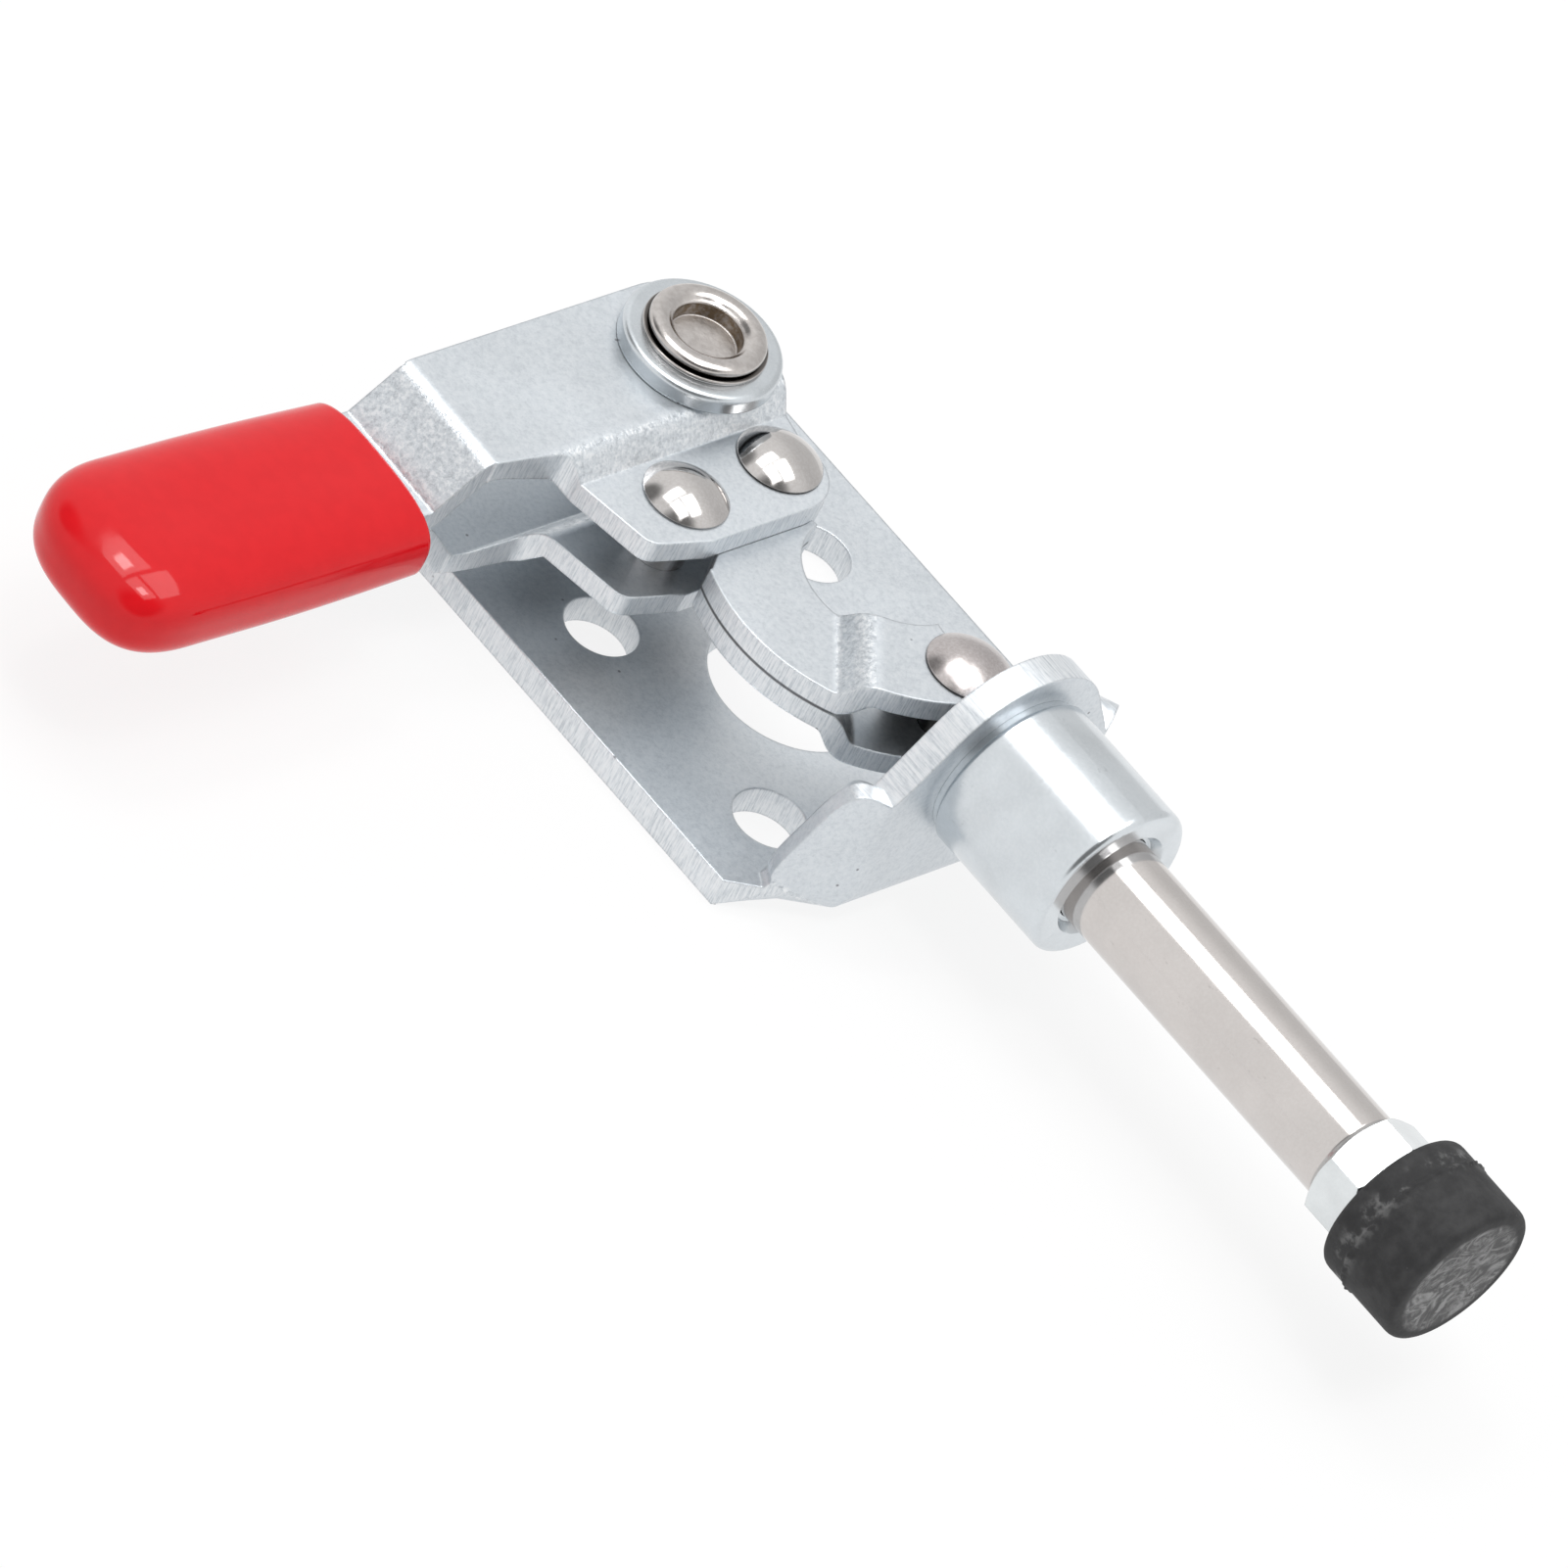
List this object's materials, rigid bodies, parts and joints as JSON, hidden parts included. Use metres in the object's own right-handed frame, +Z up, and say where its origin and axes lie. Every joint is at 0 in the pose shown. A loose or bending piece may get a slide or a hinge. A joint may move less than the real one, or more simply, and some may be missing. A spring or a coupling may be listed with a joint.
{
  "type": "push-pull toggle clamp",
  "caption": "Small straight-line toggle clamp: a side handle drives a guided plunger through C-shaped links, with a folded mounting base and a rubber tip.",
  "frame": {"origin": "centre of the four mounting holes, on the underside of the base plate", "axes": "+X is the way the plunger pushes, +Y is to its left, +Z is up from the mounting face"},
  "size_m": [0.0821, 0.0638, 0.0176],
  "materials": {
    "zinc_plate": "zinc plated satin",
    "zinc_turned": "zinc plated, turned",
    "nickel": "polished",
    "bright_steel": "drawn and polished",
    "black_rubber": "matt moulded",
    "red_grip": "dipped vinyl"
  },
  "bodies": {
    "base": {"base_plate": "zinc_plate", "guide_bushing": "zinc_turned", "pivot_rivet": "nickel", "pivot_washer": "zinc_turned", "pivot_sleeve": "zinc_turned", "pivot_spacer": "zinc_turned"},
    "handle": {"handle_upper_plate": "zinc_plate", "handle_lower_plate": "zinc_plate", "handle_grip": "red_grip", "link_rivet": "nickel", "stop_rivet": "nickel"},
    "links": {"link_upper": "zinc_plate", "link_lower": "zinc_plate", "plunger_rivet": "nickel"},
    "plunger": {"plunger_rod": "bright_steel", "hex_nut": "zinc_turned"},
    "tip": {"tip_screw": "bright_steel", "rubber_cap": "black_rubber"}
  },
  "joints": [
    {"name": "handle_swing", "type": "hinge", "parent": "base", "child": "handle", "pos_m": [-0.01584, -0.00109, 0.01045], "axis": [0, 0, 1], "range_deg": [-178, 0]},
    {"name": "link_swing", "type": "hinge", "parent": "handle", "child": "links", "pos_m": [-0.00789, -0.00021, 0.01045], "axis": [0, 0, 1], "range_deg": [0, 184.54]},
    {"name": "plunger_slide", "type": "slide", "parent": "base", "child": "plunger", "axis": [1, 0, 0], "range_m": [-0.01601, 0]},
    {"name": "tip_adjust", "type": "slide", "parent": "plunger", "child": "tip", "axis": [1, 0, 0], "range_m": [0, 0.006]}
  ],
  "couplings": [
    {"joint": "link_swing", "follows": "handle_swing", "ratio": -1.0368},
    {"joint": "plunger_slide", "follows": "handle_swing", "m_per_rad": 0.0051518}
  ]
}
